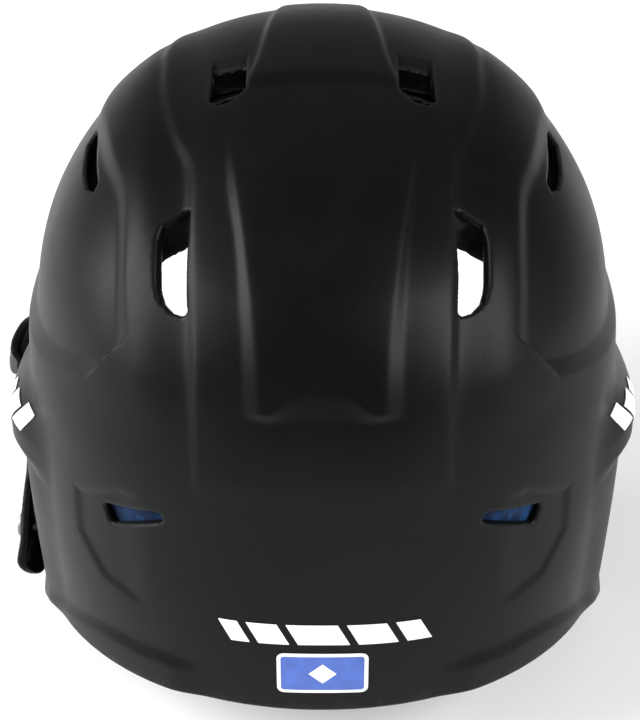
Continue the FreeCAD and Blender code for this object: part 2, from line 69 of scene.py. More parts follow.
# lower edge
NECK_Z = 46.0
NECK_Y = 108.0
NECK_RUN = 80.0
NECK_FALL = 25.8
NECK_POWER = 2.25
FACE_LINE = [(-46, 0), (-57, 9), (-62, 34), (-70, 66), (-88, 95), (-112, 111), (-140, 117)]
NECK_DROOP = 1.8
RIM_ROUND = 1.5

# brim
BRIM_T = 3.6
BRIM_RADIUS = 200.0
BRIM_ROOT = (-110.0, 128.0)
BRIM_PITCH = 11.0
BRIM_HALF_WIDTH = 90.0
BRIM_CENTRE_Y = -55.0
BRIM_LENGTH = 129.0
BRIM_BLEND = 5.0
BRIM_LOW_Z = 80.0

# ear holes
EAR_Y = -8.0
EAR_Z = 58.0
EAR_HALF = (19.0, 21.0)
EAR_INNER_X = 50.0


# ==== small tools
def smooth(t):
    """0 below 0, 1 above 1, an S-curve between."""
    t = np.clip(t, 0.0, 1.0)
    return t * t * (3.0 - 2.0 * t)


def fade(v, start, end):
    """0 at start and beyond it, 1 at end, an S-curve between."""
    return smooth((v - start) / (end - start))


def ramp(v, width, rounding=0.9):
    """0 before, 1 after, a slope of that width centred on v = 0, with rounded corners."""
    soft = lambda t: 0.5 * (t + np.sqrt(t * t + rounding * rounding))
    return (soft(v + width / 2) - soft(v - width / 2)) / width


def carve(body, tool, radius):
    """body without tool, with the new edge rounded. Signed distances, negative inside."""
    return meet(body, -tool, radius)


def meet(a, b, radius):
    """Where both shapes are, with the edge between them rounded."""
    both = np.minimum(np.maximum(a, b), -radius)
    return both + np.hypot(np.maximum(a + radius, 0.0), np.maximum(b + radius, 0.0))


def join(a, b, radius):
    """Both shapes together, with a fillet between them."""
    h = np.clip(0.5 + 0.5 * (b - a) / radius, 0.0, 1.0)
    return b + (a - b) * h - radius * h * (1.0 - h)


def curve_through(points, closed=True, steps=8):
    """Smooth line through a few points (Catmull-Rom)."""
    p = np.array(points, float)
    n = len(p)
    t = np.linspace(0, 1, steps, endpoint=False)[:, None]
    line = []
    for i in range(n if closed else n - 1):
        a = p[i - 1] if closed or i > 0 else 2 * p[0] - p[1]
        b, c = p[i], p[(i + 1) % n]
        d = p[(i + 2) % n] if closed or i + 2 < n else 2 * p[-1] - p[-2]
        line.append(0.5 * (2 * b + (c - a) * t + (2 * a - 5 * b + 4 * c - d) * t**2
                           + (3 * b - a - 3 * c + d) * t**3))
    line = np.concatenate(line)
    return line if closed else np.vstack([line, p[-1:]])


def slope_of(field, p, h=0.06):
    """Gradient of a field at points."""
    return np.column_stack([field(*(p + s).T) - field(*(p - s).T) for s in np.eye(3) * h]) / (2 * h)


def unit(vectors):
    """Rows at length 1."""
    return vectors / np.maximum(np.linalg.norm(vectors, axis=1), 1e-9)[:, None]


def track(pairs):
    """A smooth function through (input, output) pairs, level beyond its ends."""
    line = curve_through(sorted(pairs), closed=False, steps=12)
    return lambda v: np.interp(v, line[:, 0], line[:, 1])


class Outline:
    """Signed distance to a closed line in a plane, negative inside, kept on a fine grid."""

    def __init__(self, points, margin=26.0, step=0.6):
        p = np.array(points, float)
        self.low = p.min(0) - margin
        self.step = step
        count = np.ceil((p.max(0) + margin - self.low) / step).astype(int) + 1
        u = (self.low[0] + step * np.arange(count[0]))[:, None]
        v = (self.low[1] + step * np.arange(count[1]))[None, :]
        near = np.full(count, 1e9)
        inside = np.zeros(count, bool)
        for a, b in zip(p, np.roll(p, -1, 0)):
            d = b - a
            t = np.clip(((u - a[0]) * d[0] + (v - a[1]) * d[1]) / max(d @ d, 1e-12), 0, 1)
            near = np.minimum(near, (u - a[0] - t * d[0]) ** 2 + (v - a[1] - t * d[1]) ** 2)
            spans = (a[1] > v) != (b[1] > v)
            rise = d[1] if abs(d[1]) > 1e-12 else 1e-12
            inside ^= spans & (u < a[0] + d[0] * (v - a[1]) / rise)
        self.grid = np.sqrt(near) * np.where(inside, -1.0, 1.0)

    def __call__(self, u, v):
        size = self.grid.shape
        fu = np.clip((u - self.low[0]) / self.step, 0, size[0] - 1.001)
        fv = np.clip((v - self.low[1]) / self.step, 0, size[1] - 1.001)
        i, j = fu.astype(int), fv.astype(int)
        du, dv = fu - i, fv - j
        g = self.grid
        return (g[i, j] * (1 - du) + g[i + 1, j] * du) * (1 - dv) + (
            g[i, j + 1] * (1 - du) + g[i + 1, j + 1] * du) * dv


# ==== the shell's shape
def ridge(azimuth, z):
    """How far the wall swells out over the ear."""
    start, full, weaker, end = RIDGE_AZIMUTHS
    along = fade(azimuth, start, full) * fade(azimuth, end, weaker)
    level = z + RIDGE_DROP * fade(azimuth, *RIDGE_DROP_AZIMUTHS)
    low, high = RIDGE_CREST
    above = RIDGE_OUT * fade(level, RIDGE_TOP_Z, high)
    tucked = fade(level, low, low - RIDGE_UNDERCUT)
    lip = FLAP_LIP_OUT * fade(z, *FLAP_LIP_Z)
    below = RIDGE_OUT * (1 - (1 - FLAP_SHARE) * tucked) + lip
    return along * np.where(level > high, above, below)


def wall_gap(x, y, z):
    """Distance from the dome's smooth outer skin, negative inside."""
    r = np.maximum(np.hypot(x, y), 1e-3)
    keep = np.maximum(r - ridge(np.degrees(np.arctan2(np.abs(x), y)), z), 1e-3) / r
    lean = np.arctan2(z - WIDEST_Z, HALF_WIDTH)
    top, low = PLAN_EXPONENTS
    n = top + (low - top) * fade(lean, *PLAN_LEAN)
    reach = np.where(y > 0, BACK_REACH, FRONT_REACH)
    depth = np.where(z > WIDEST_Z, CROWN_RISE, WALL_DROP)
    side = np.abs(x) * keep / HALF_WIDTH + 1e-9
    fore = np.abs(y) * keep / reach + 1e-9
    level = np.abs(z - WIDEST_Z) / depth + 1e-9
    plan = (side**n + fore**n) ** (1 / n)
    m = SIDE_EXPONENT
    size = (plan**m + level**m) ** (1 / m)
    tilt = (plan / size) ** (m - 1)
    slope = np.sqrt((tilt * (side / plan) ** (n - 1) / HALF_WIDTH) ** 2
                    + (tilt * (fore / plan) ** (n - 1) / reach) ** 2
                    + ((level / size) ** (m - 1) / depth) ** 2)
    return (size - 1) / slope


# Plan lines of the raised panels, as (y, x), and of the side panel's lower edge, as (y, z).
CENTRE_EDGE = track([(-125, 11), (-68, 17), (-23, 21), (-8, 23.5), (8, 27.5), (22, 29.5), (34, 29.5),
                     (50, 28), (65, 25.6), (84, 23.4), (96, 22.2), (112, 22)])
SHOULDER_EDGE = track([(-120, 36), (-80, 50), (-50, 54.5), (-31, 54), (-5, 52.5), (17, 48), (29, 44),
                       (38, 42), (60, 41.3), (80, 40.6), (95, 40.2), (103, 40.4), (112, 44)])
SIDE_EDGE = track([(-100, 56), (-70, 70), (-34, 77), (-8, 74), (15, 69.5), (33, 64.5), (48, 63.2),
                   (65, 63), (78, 62.5), (100, 62)])
SIDE_LOW = track([(-95, 184), (-80, 160), (-62, 146), (-40, 142), (0, 144), (34, 149), (52, 154),
                  (69, 162), (73, 166), (76, 178), (82, 200)])
FLANGE_LINE = track([(0, 62), (25, 63.5), (33, 63), (43, 61), (57, 48), (68, 35), (80, 20)])
POCKET = Outline([(81, 115), (81, 98), (73, 86), (58, 83), (40, 100), (45, 131), (66, 127)])
SHOULDER_STEP = 1.4
CENTRE_STEP = 1.6
SIDE_RAISE = 1.9
SIDE_STEP = 2.4
POCKET_STEP = 1.0
FLANGE_STEP = 1.6
CROWN_SUNK = 2.2


def relief(x, y, z):
    """How far panels, flange and vent pockets stand above the smooth dome."""
    ax = np.abs(x)
    azimuth = np.degrees(np.arctan2(ax, y))
    shoulder = SHOULDER_STEP * ramp(SHOULDER_EDGE(y) - ax, 2.2)
    shoulder *= fade(z, 134, 148) * (0.6 + 0.4 * fade(z, 145, 185))
    width = 1.4 + 3.6 * fade(z, 215, 175) * fade(y, 0, 40)
    faint = 1 - 0.85 * fade(y, -4, 4) * fade(y, 52, 26)
    foot = smooth((z - 167) / (3.5 + 9 * fade(ax, 17, 5)))
    centre = CENTRE_STEP * ramp(CENTRE_EDGE(y) - ax, width)
    centre *= faint * np.where(y > 40, foot, 1.0) * fade(z, 150, 170)
    panel = ramp(ax - SIDE_EDGE(y), 2.6) * ramp(z - SIDE_LOW(y), 7.0, 0.5)
    side = SIDE_RAISE * fade(ax, 42, 60) * fade(z, 148, 174) - SIDE_STEP * panel
    sunk = -CROWN_SUNK * fade(ax, 67, 41) * fade(z, 196, 218)
    pocket = -POCKET_STEP * ramp(-POCKET(ax, z), 2.4) * fade(ax, 56, 68) * fade(y, 0, 20)
    flange = FLANGE_STEP * ramp(FLANGE_LINE(azimuth) - z - 2.5, 4.0)
    flange *= fade(azimuth, 20, 28) * fade(azimuth, 78, 68)
    return shoulder + centre + side + sunk + pocket + flange


def lower_opening():
    """Outline, in y and z, of everything below the shell's lower edge."""
    y = np.linspace(NECK_Y, 4, 16)
    neck = np.column_stack([y, NECK_Z - NECK_FALL * ((NECK_Y - y) / NECK_RUN) ** NECK_POWER])
    face = curve_through(FACE_LINE, closed=False)
    neck = neck[neck[:, 1] > 1.0]
    return [(170, NECK_Z), *neck, (-2, 0), *face, (-170, 117), (-170, -60), (170, -60)]


BELOW = Outline(lower_opening(), margin=2.0, step=0.8)


class Vent:
    """A hole through the wall of both sides: an outline in a frame that lies on the skin."""

    def __init__(self, centre, run, points):
        self.centre = np.array(centre, float)
        out = unit(slope_of(wall_gap, self.centre[None], 0.5))[0]
        run = unit([run - out * (np.array(run, float) @ out)])[0]
        across = np.cross(run, out)
        self.axes = run, across * (1 if across[0] > 0 else -1), out
        self.outline = Outline(points, margin=14, step=0.4)

    def __call__(self, x, y, z, extra=0.0):
        away = np.abs(x) - self.centre[0], y - self.centre[1], z - self.centre[2]
        s, t, n = (away[0] * a[0] + away[1] * a[1] + away[2] * a[2] for a in self.axes)
        return np.maximum(self.outline(s, t) - extra, np.abs(n) - VENT_REACH)


VENT_REACH = 11.0
VENTS = {
    "main": Vent((47.5, 65, 200), (0.03, 0.81, -0.58),
                 [(-17.5, -3.2), (-12.8, 4.0), (-8, 4.9), (7.2, 4.3), (12, 3.0), (15.6, -0.4),
                  (17.2, -4.6), (16, -5.8), (-9, -5.4), (-17, -4.8)]),
    "side": Vent((77.5, 1.5, 196.5), (-0.06, 1, 0.08),
                 [(-19, -1.5), (-16, 2.6), (4, 3.2), (15, 2.2), (19.5, -0.6), (17, -2.6), (-16, -3.0)]),
    "rear": Vent((61.5, 92.5, 119), (0.75, -0.5, -0.42),
                 [(-12.4, -1.5), (-12.8, 0.9), (-11, 1.8), (6, 3.0), (12.2, 3.7), (13.0, 2.4),
                  (13.0, -2.6), (12, -3.5), (-10.5, -2.4)]),
    "front": Vent((30, -95, 194.7), (0.1, -0.75, -0.65),
                  [(-14, -2.5), (-11, 3.2), (8, 4.0), (13, 2.4), (14, -1.0), (11, -3.8), (-11, -3.4)]),
}
SCOOP = Outline([(25.4, -22.5), (36.2, -25), (37.0, 4), (34.0, 8.5), (30.0, 8.0), (25.0, 2)],
                margin=14, step=0.4)
SCOOP_LOW_Z = 180.0
SCOOP_RAMP = 0.5
SCOOP_FRONT_Y = -22.5
VENT_EDGE = 1.2
SCOOP_EDGE = 1.0
EAR_EDGE = 1.6


def scoop(x, y, z, gap):
    """Top vent: a pocket whose floor ramps down from the front until it breaks through."""
    bottom = (-gap - SCOOP_RAMP * (y - SCOOP_FRONT_Y)) / math.hypot(1, SCOOP_RAMP)
    return np.maximum(np.maximum(SCOOP(np.abs(x), y), bottom), SCOOP_LOW_Z - z)


def ear_hole(x, y, z, extra=0.0):
    """Oval hole through both flaps."""
    u, v = (y - EAR_Y) / (EAR_HALF[0] + extra), (z - EAR_Z) / (EAR_HALF[1] + extra)
    return np.maximum((np.hypot(u, v) - 1) * min(EAR_HALF), EAR_INNER_X - np.abs(x))


def brim(x, y, z, gap):
    """Arched visor with a rounded edge, clipped where it would enter the head space."""
    pitch = math.radians(BRIM_PITCH)
    dy, dz = y - BRIM_ROOT[0], z - (BRIM_ROOT[1] - BRIM_RADIUS)
    lift = dz * math.cos(pitch) - dy * math.sin(pitch)
    radius = np.hypot(x, lift)
    slab = np.abs(radius - BRIM_RADIUS + BRIM_T / 2) - BRIM_T / 2
    plan = BRIM_OUTLINE(x, y)
    return np.maximum(np.maximum(meet(slab, plan, 1.7), -(gap + SHELL_T)), BRIM_LOW_Z - z)


BRIM_TURN = np.linspace(0, 2 * math.pi, 96, endpoint=False)
BRIM_OUTLINE = Outline(np.column_stack([BRIM_HALF_WIDTH * np.cos(BRIM_TURN),
                                        BRIM_CENTRE_Y - BRIM_LENGTH * np.sin(BRIM_TURN)]),
                       margin=30, step=1.0)


def shell_field(x, y, z):
    """The whole moulded shell."""
    gap = wall_gap(x, y, z)
    body = np.maximum(gap - relief(x, y, z), -(gap + SHELL_T))
    droop = NECK_DROOP * np.exp(-((x / 30) ** 2)) * (y > 0)
    body = meet(body, -BELOW(y, z + droop), RIM_ROUND)
    body = join(body, brim(x, y, z, gap), BRIM_BLEND)
    for vent in VENTS.values():
        body = carve(body, vent(x, y, z), VENT_EDGE)
    body = carve(body, scoop(x, y, z, gap), SCOOP_EDGE)
    return carve(body, ear_hole(x, y, z), EAR_EDGE)


# ==== fields to meshes
BLOCK = 4
TURNED = (0.05, 0.2)


def near_cells(field, low, size, voxel):
    """Which fine-grid points lie in coarse blocks near the surface, and which in blocks inside it."""
    coarse = [np.arange(n // BLOCK + 2) * BLOCK for n in size]
    value = field(*np.meshgrid(*[low[k] + voxel * (coarse[k] + BLOCK / 2) for k in range(3)], indexing="ij"))
    cube = np.ones((BLOCK,) * 3, bool)
    inside = np.kron(value < 0, cube)
    close = np.kron(np.abs(value) < voxel * BLOCK * 1.7, cube)
    crop = tuple(slice(0, n) for n in size)
    return close[crop], inside[crop]


def surface(field, low, high, voxel):
    """Quads on the zero surface of a field, in millimetres."""
    low, high = np.array(low, float), np.array(high, float)
    size = np.ceil((high - low) / voxel).astype(int) + 1
    close, inside = near_cells(field, low, size, voxel)
    values = np.where(inside, -3 * voxel, 3 * voxel).astype(np.float32)
    i, j, k = np.nonzero(close)
    exact = field(low[0] + voxel * i, low[1] + voxel * j, low[2] + voxel * k)
    values[i, j, k] = np.clip(exact, -3 * voxel, 3 * voxel)
    grid = openvdb.FloatGrid(3 * voxel)
    grid.copyFromArray(values)
    points, quads = grid.convertToQuads(0.0)
    return points.astype(float) * voxel + low, quads.astype(int)


def capped(moves, most):
    """Moves, each at most that long."""
    length = np.linalg.norm(moves, axis=1)
    return moves * np.minimum(1.0, most / np.maximum(length, 1e-9))[:, None]


def settle(field, p, rounds=2, most=0.8):
    """Moves points onto the surface."""
    for _ in range(rounds):
        slope = slope_of(field, p)
        step = field(*p.T) / np.maximum((slope**2).sum(1), 0.05)
        p = p - capped(slope * step[:, None], most)
    return p


def linked(name, data):
    """New object in the scene."""
    obj = bpy.data.objects.new(name, data)
    bpy.context.scene.collection.objects.link(obj)
    return obj


def new_object(name, points, faces):
    """Mesh object from millimetre points."""
    mesh = bpy.data.meshes.new(name)
    mesh.from_pydata((np.asarray(points) * MM).tolist(), [], [[int(i) for i in face] for face in faces])
    mesh.update()
    return linked(name, mesh)


def coordinates(obj):
    """Vertices in millimetres."""
    co = np.empty(len(obj.data.vertices) * 3)
    obj.data.vertices.foreach_get("co", co)
    return co.reshape(-1, 3) / MM


def move_to(obj, points):
    """Puts the vertices at millimetre points."""
    obj.data.vertices.foreach_set("co", (points * MM).ravel())


def apply_modifiers(obj):
    """Replaces the mesh by what its modifiers make of it."""
    bpy.context.view_layer.update()
    shown = obj.evaluated_get(bpy.context.evaluated_depsgraph_get())
    mesh = bpy.data.meshes.new_from_object(shown)
    obj.modifiers.clear()
    obj.data = mesh
    return obj


def sculpt(name, field, low, high, voxel, most_triangles=None, keep=None):
    """Object on the zero surface of a field, with the field's normals."""
    points, quads = surface(field, low, high, voxel)
    obj = new_object(name, settle(field, points), quads)
    if most_triangles and 2 * len(quads) > most_triangles:
        thin = obj.modifiers.new("thin", "DECIMATE")
        thin.ratio = most_triangles / (2 * len(quads))
        if keep:
            free = obj.vertex_groups.new(name="free")
            free.add(np.nonzero(~keep(*coordinates(obj).T))[0].tolist(), 1.0, "REPLACE")
            thin.vertex_group = free.name
        apply_modifiers(obj)
        move_to(obj, settle(field, coordinates(obj), 1, 0.3))
    obj.data.shade_smooth()
    shade(obj.data, slope_of(field, coordinates(obj), 0.5))
    return obj


def shade(mesh, slope):
    """Shading normals: the field's own, except where a face turns well away from them."""
    corner = np.empty(len(mesh.loops), int)
    mesh.loops.foreach_get("vertex_index", corner)
    count = np.empty(len(mesh.polygons), int)
    mesh.polygons.foreach_get("loop_total", count)
    flat = np.empty(3 * len(mesh.polygons))
    mesh.polygons.foreach_get("normal", flat)
    flat = np.repeat(flat.reshape(-1, 3), count, axis=0)
    curved = unit(slope)[corner]
    away = 1 - (curved * flat).sum(1)
    share = fade(away, *TURNED)[:, None]
    mesh.normals_split_custom_set((curved * (1 - share) + flat * share).tolist())


# ==== layers inside the shell
LINER_OUT = SHELL_T + 0.4
LINER_T = 11.0
PAD_OUT = LINER_OUT + LINER_T + 0.4
GROOVE_DEPTH = 1.1
GROOVE_PITCH = 0.52
FOAM_ROUND = 1.5
FOAM_CORNER = 2.5
PAD_T = 7.0
EAR_PAD_T = 12.5
PAD_EDGE = 0.42
PAD_SWELL = (11.0, 0.8)
MARCH_FAR = 90.0
MARCH_ROUNDS = 40
ASIDE, BACKWARD, UP = np.eye(3)[:, None]
BACK_ARC = 95.0
FRONT_ARC = 105.0


def from_above(x, y, z):
    return x, y


def from_side(x, y, z):
    return y, z


def round_back(x, y, z):
    """Distance round the wall from the back, and height."""
    return np.arctan2(x, y) * BACK_ARC, z


def round_front(x, y, z):
    """Distance round the wall from the front, and height."""
    return np.arctan2(x, -y) * FRONT_ARC, z


def liner_block(points, heights, aired):
    """Field of a foam block inside the shell, with rounded edges and air channels."""
    outline = Outline(points, margin=12)

    def field(x, y, z):
        gap = wall_gap(x, y, z)
        edge = outline(x, y)
        groove = GROOVE_DEPTH * fade(np.cos(edge * GROOVE_PITCH), 0.8, 1.0)
        body = meet(gap + LINER_OUT, -(gap + LINER_OUT + LINER_T - groove), FOAM_ROUND)
        body = meet(body, edge, FOAM_CORNER)
        body = meet(body, np.maximum(heights[0] - z, z - heights[1]), FOAM_CORNER)
        if aired:
            for name in ("side", "front"):
                body = carve(body, VENTS[name](x, y, z, FOAM_ROUND), FOAM_ROUND)
            body = carve(body, np.maximum(SCOOP(np.abs(x), y) - 2, SCOOP_LOW_Z - z), FOAM_ROUND)
        return body

    return field


class Pad:
    """A sewn pad: crowned, thinner at its edge, with sewn channels."""

    def __init__(self, look, points, outer, thick, channels=(), hole=None, shrink=1.0):
        self.look, self.outer, self.thick, self.hole, self.shrink = look, outer, thick, hole, shrink
        self.edge = curve_through(points)
        self.outline = Outline(self.edge, margin=12)
        self.channels = [curve_through(c, closed=False) for c in channels]

    def rim(self, x, y, z):
        """Distance to the pad's edge, negative inside."""
        d = self.outline(*self.look(x, y, z)) + self.shrink
        if self.hole:
            d = np.maximum(d, -self.hole(x, y, z) + self.shrink)
        return d

    def field(self, x, y, z):
        gap = wall_gap(x, y, z) + self.outer
        d = self.rim(x, y, z)
        return meet(meet(gap, -(gap + self.thickness(d)), 1.6), d, 2.2)

    def thickness(self, d):
        """Thickness at a distance from the edge."""
        reach, power = PAD_SWELL
        return (self.thick - self.shrink) * (PAD_EDGE + (1 - PAD_EDGE) * smooth(-d / reach) ** power)

    def to_channel(self, p):
        """Distance from points to the nearest sewn channel."""
        u, v = self.look(*p.T)
        near = np.full(len(p), 1e9)
        for line in self.channels:
            for a, b in zip(line, line[1:]):
                d = b - a
                t = np.clip(((u - a[0]) * d[0] + (v - a[1]) * d[1]) / (d @ d), 0, 1)
                near = np.minimum(near, np.hypot(u - a[0] - t * d[0], v - a[1] - t * d[1]))
        return near


def march(origin, ahead, gap_at, height):
    """Moves points along ahead until gap_at them reaches a height."""
    low, high = np.zeros(len(origin)), np.full(len(origin), MARCH_FAR)
    for _ in range(MARCH_ROUNDS):
        middle = (low + high) / 2
        out = gap_at(*(origin + ahead * middle[:, None]).T) > height
        high, low = np.where(out, middle, high), np.where(out, low, middle)
    return origin + ahead * middle[:, None]


def place_on(pad, line, height):
    """Points in space for a line drawn in a pad's own view, at a height inside the wall."""
    u, v = np.array(line).T
    none = 0 * u
    if pad.look is from_side:
        origin, ahead = np.column_stack([none + 40, u, v]), ASIDE
    elif pad.look is from_above:
        origin, ahead = np.column_stack([u, v, none + 170]), UP
    else:
        back = pad.look is round_back
        turn = u / (BACK_ARC if back else FRONT_ARC)
        ahead = np.column_stack([np.sin(turn), np.cos(turn) * (1 if back else -1), none])
        origin = ahead * 40 + np.column_stack([none, none, v])
    return march(origin, ahead, wall_gap, height)


def tube(name, path, radius, closed=False, sides=8):
    """Round tube along a line of millimetre points."""
    p = np.array(path, float)
    ahead = np.roll(p, -1, 0) - np.roll(p, 1, 0)
    if not closed:
        ahead[0], ahead[-1] = p[1] - p[0], p[-1] - p[-2]
    ahead /= np.linalg.norm(ahead, axis=1)[:, None]
    up = np.cross(ahead[0], [0.3, 0.5, 0.8])
    rings = []
    for point, run in zip(p, ahead):
        up = up - run * (up @ run)
        up /= np.linalg.norm(up)
        side = np.cross(run, up)
        turn = np.arange(sides) * 2 * math.pi / sides
        rings.append(point + radius * (np.cos(turn)[:, None] * up + np.sin(turn)[:, None] * side))
    n = len(p)
    faces = []
    for i in range(n if closed else n - 1):
        for k in range(sides):
            a, b = i * sides, ((i + 1) % n) * sides
            faces.append((a + k, a + (k + 1) % sides, b + (k + 1) % sides, b + k))
    if not closed:
        faces += [tuple(range(sides))[::-1], tuple(range((n - 1) * sides, n * sides))]
    obj = new_object(name, np.concatenate(rings), [list(f) for f in faces])
    obj.data.shade_smooth()
    return obj


def merged(name, objects):
    """One object out of several."""
    verts, faces = [], []
    for obj in objects:
        base = len(verts)
        verts += [tuple(c) for c in coordinates(obj)]
        faces += [[base + i for i in f.vertices] for f in obj.data.polygons]
        bpy.data.objects.remove(obj)
    obj = new_object(name, verts, faces)
    obj.data.shade_smooth()
    return obj


def stitches(name, path, length=2.6, gap=1.5, radius=0.28):
    """Row of separate stitches along a line."""
    p = np.array(path, float)
    along = np.concatenate([[0], np.cumsum(np.linalg.norm(np.diff(p, axis=0), axis=1))])
    at = lambda s: np.array([np.interp(s, along, p[:, k]) for k in range(3)])
    rows = []
    start = 0.6
    while start + length < along[-1]:
        line = [at(start + length * f) for f in (0, 0.25, 0.5, 0.75, 1)]
        rows.append(tube(name, line, radius, sides=6))
        start += length + gap
    return merged(name, rows)


def mirror_copy(obj, name):
    """The wearer's-right twin of a piece."""
    mesh = obj.data.copy()
    mesh.name = name
    twin = linked(name, mesh)
    move_to(twin, coordinates(twin) * (-1, 1, 1))
    mesh.flip_normals()
    return twin


# ==== materials
def wire(tree, made, key, value):
    """Sets one input of a node to a socket or a value."""
    if isinstance(value, bpy.types.NodeSocket):
        tree.links.new(value, made.inputs[key])
    else:
        made.inputs[key].default_value = value


def node(tree, kind, links=(), **settings):
    """Adds a node; links is (input name or index, source socket or value) pairs."""
    made = tree.nodes.new(kind)
    for name, value in settings.items():
        setattr(made, name, value)
    for key, value in links:
        wire(tree, made, key, value)
    return made


def start_material(name, roughness, **constants):
    """New material with its Principled shader and object coordinates."""
    mat = bpy.data.materials.new(name)
    mat.use_nodes = True
    tree = mat.node_tree
    shader = tree.nodes["Principled BSDF"]
    shader.inputs["Roughness"].default_value = roughness
    for key, value in constants.items():
        shader.inputs[key.replace("_", " ")].default_value = value
    where = tree.nodes.new("ShaderNodeTexCoord").outputs["Object"]
    return mat, tree, shader, where


def two_tone(tree, factor, a, b):
    """Colour between a and b; a is a socket or three numbers."""
    first = a if isinstance(a, bpy.types.NodeSocket) else (*a, 1)
    mix = node(tree, "ShaderNodeMix", data_type="RGBA")
    for key, value in (("Factor", factor), ("A", first), ("B", (*b, 1))):
        wire(tree, mix, key, value)
    return mix.outputs["Result"]


def ranged(tree, value, low, high, start=0.0, end=1.0):
    """Value mapped from start..end to low..high."""
    mapped = node(tree, "ShaderNodeMapRange", [("Value", value), ("From Min", start), ("From Max", end),
                                               ("To Min", low), ("To Max", high)])
    return mapped.outputs["Result"]


def paint(tree, shader, tone, dark, light, rough=None):
    """Wires the base colour to a tone, and the roughness to a socket."""
    wire(tree, shader, "Base Color", two_tone(tree, tone, dark, light))
    if rough:
        wire(tree, shader, "Roughness", rough)


def turned(tree, where, **settings):
    """Object coordinates, rotated or scaled."""
    links = [("Vector", where)] + list(settings.items())
    return node(tree, "ShaderNodeMapping", links).outputs[0]


def combined(tree, operation, a, b):
    """One number out of two."""
    return node(tree, "ShaderNodeMath", [(0, a), (1, b)], operation=operation).outputs[0]


def noise(tree, where, scale, detail=3.0, roughness=0.55):
    """Noise as a number."""
    made = node(tree, "ShaderNodeTexNoise", [("Vector", where), ("Scale", scale), ("Detail", detail),
                                             ("Roughness", roughness)])
    return made.outputs["Fac"]


def bumps(tree, shader, layers):
    """Stacks bump layers of (height socket, distance in metres, strength)."""
    below = []
    for height, distance, strength in layers:
        made = node(tree, "ShaderNodeBump", [("Height", height), ("Distance", distance),
                                             ("Strength", strength), *below])
        below = [("Normal", made.outputs["Normal"])]
    wire(tree, shader, *below[0])


def moulded(name, dark, light, rough, grain=1150.0, grain_depth=0.00005, edge_wear_and_highlight=0.007):
    """Matte moulded plastic with a fine grain, faint flow marks and paler edges, partly wear and partly
    painted highlight.
    """
    mat, tree, shader, where = start_material(name, 0.5, Specular_IOR_Level=0.09)
    cloud = noise(tree, where, 26, 4)
    fine = noise(tree, where, grain, 2, 0.6)
    peel = noise(tree, where, 210, 2, 0.5)
    base = two_tone(tree, ranged(tree, cloud, 0, 1, 0.32, 0.68), dark, light)
    speck = ranged(tree, noise(tree, where, 520, 2, 0.6), 0, 1, 0.60, 0.78)
    # Convex edges get a paler colour: partly edge wear, partly a painted highlight along the rims.
    wear_and_highlight = node(tree, "ShaderNodeAttribute", attribute_name="wear_and_highlight").outputs["Fac"]
    rubbed_and_highlit = combined(tree, "MULTIPLY", wear_and_highlight, ranged(tree, cloud, 0.35, 1, 0.35, 0.6))
    edge = two_tone(tree, rubbed_and_highlit, base, [edge_wear_and_highlight * c for c in (1.0, 1.0, 1.03)])
    paint(tree, shader, ranged(tree, speck, 0, 0.22), edge, [c * 2.2 for c in light],
          ranged(tree, cloud, *rough, 0.3, 0.7))
    bumps(tree, shader, [(peel, 0.00004, 0.4), (fine, grain_depth, 0.6)])
    return mat


def foam(name, dark, light, bead=330.0, rough=0.78):
    """Moulded bead foam: packed cells with dimples between them."""
    mat, tree, shader, where = start_material(name, rough, Sheen_Weight=0.03, Sheen_Roughness=0.6,
                                              Specular_IOR_Level=0.15)
    cells = node(tree, "ShaderNodeTexVoronoi", [("Vector", where), ("Scale", bead)], feature="SMOOTH_F1")
    tint = node(tree, "ShaderNodeTexVoronoi", [("Vector", where), ("Scale", bead)], feature="F1")
    hue = node(tree, "ShaderNodeSeparateColor", [("Color", tint.outputs["Color"])]).outputs["Red"]
    tone = combined(tree, "MULTIPLY", hue, noise(tree, where, 60, 3))
    paint(tree, shader, ranged(tree, tone, 0, 1, 0.05, 0.6), dark, light,
          ranged(tree, hue, rough - 0.08, rough + 0.08))
    hollow = ranged(tree, cells.outputs["Distance"], 1, 0, 0.0, 0.7)
    bumps(tree, shader, [(hollow, 0.0006, 0.55), (noise(tree, where, 1500, 2), 0.00006, 0.5)])
    return mat


def knit(name, dark, light, pitch=0.0011):
    """Brushed knit: two crossing sets of fine ribs under a soft nap."""
    mat, tree, shader, where = start_material(name, 0.85, Sheen_Weight=0.45, Sheen_Roughness=0.4)
    wobble = node(tree, "ShaderNodeTexNoise", [("Vector", where), ("Scale", 90.0), ("Detail", 2.0)])
    bent = node(tree, "ShaderNodeVectorMath", [(0, where)], operation="ADD")
    shift = node(tree, "ShaderNodeVectorMath", [(0, wobble.outputs["Color"]), (3, 0.0022)], operation="SCALE")
    tree.links.new(shift.outputs[0], bent.inputs[1])
    scale = 2 * math.pi / (20 * pitch)
    ribs = []
    for turn in ((0.5, 0.3, 0.7), (-0.6, 0.8, -0.4)):
        across = turned(tree, bent.outputs[0], Rotation=turn)
        wave = node(tree, "ShaderNodeTexWave", [("Vector", across), ("Scale", scale),
                                                ("Distortion", 1.2), ("Detail", 1.0)])
        ribs.append(wave.outputs["Fac"])
    loops = combined(tree, "MULTIPLY", *ribs)
    cloud = noise(tree, where, 45, 4)
    tone = combined(tree, "ADD", loops, cloud)
    paint(tree, shader, ranged(tree, tone, 0, 1, 0.35, 1.35), dark, light,
          ranged(tree, cloud, 0.76, 0.94, 0.3, 0.7))
    bumps(tree, shader, [(noise(tree, where, 160, 3), 0.0003, 0.35), (loops, 0.00025, 0.8)])
    return mat


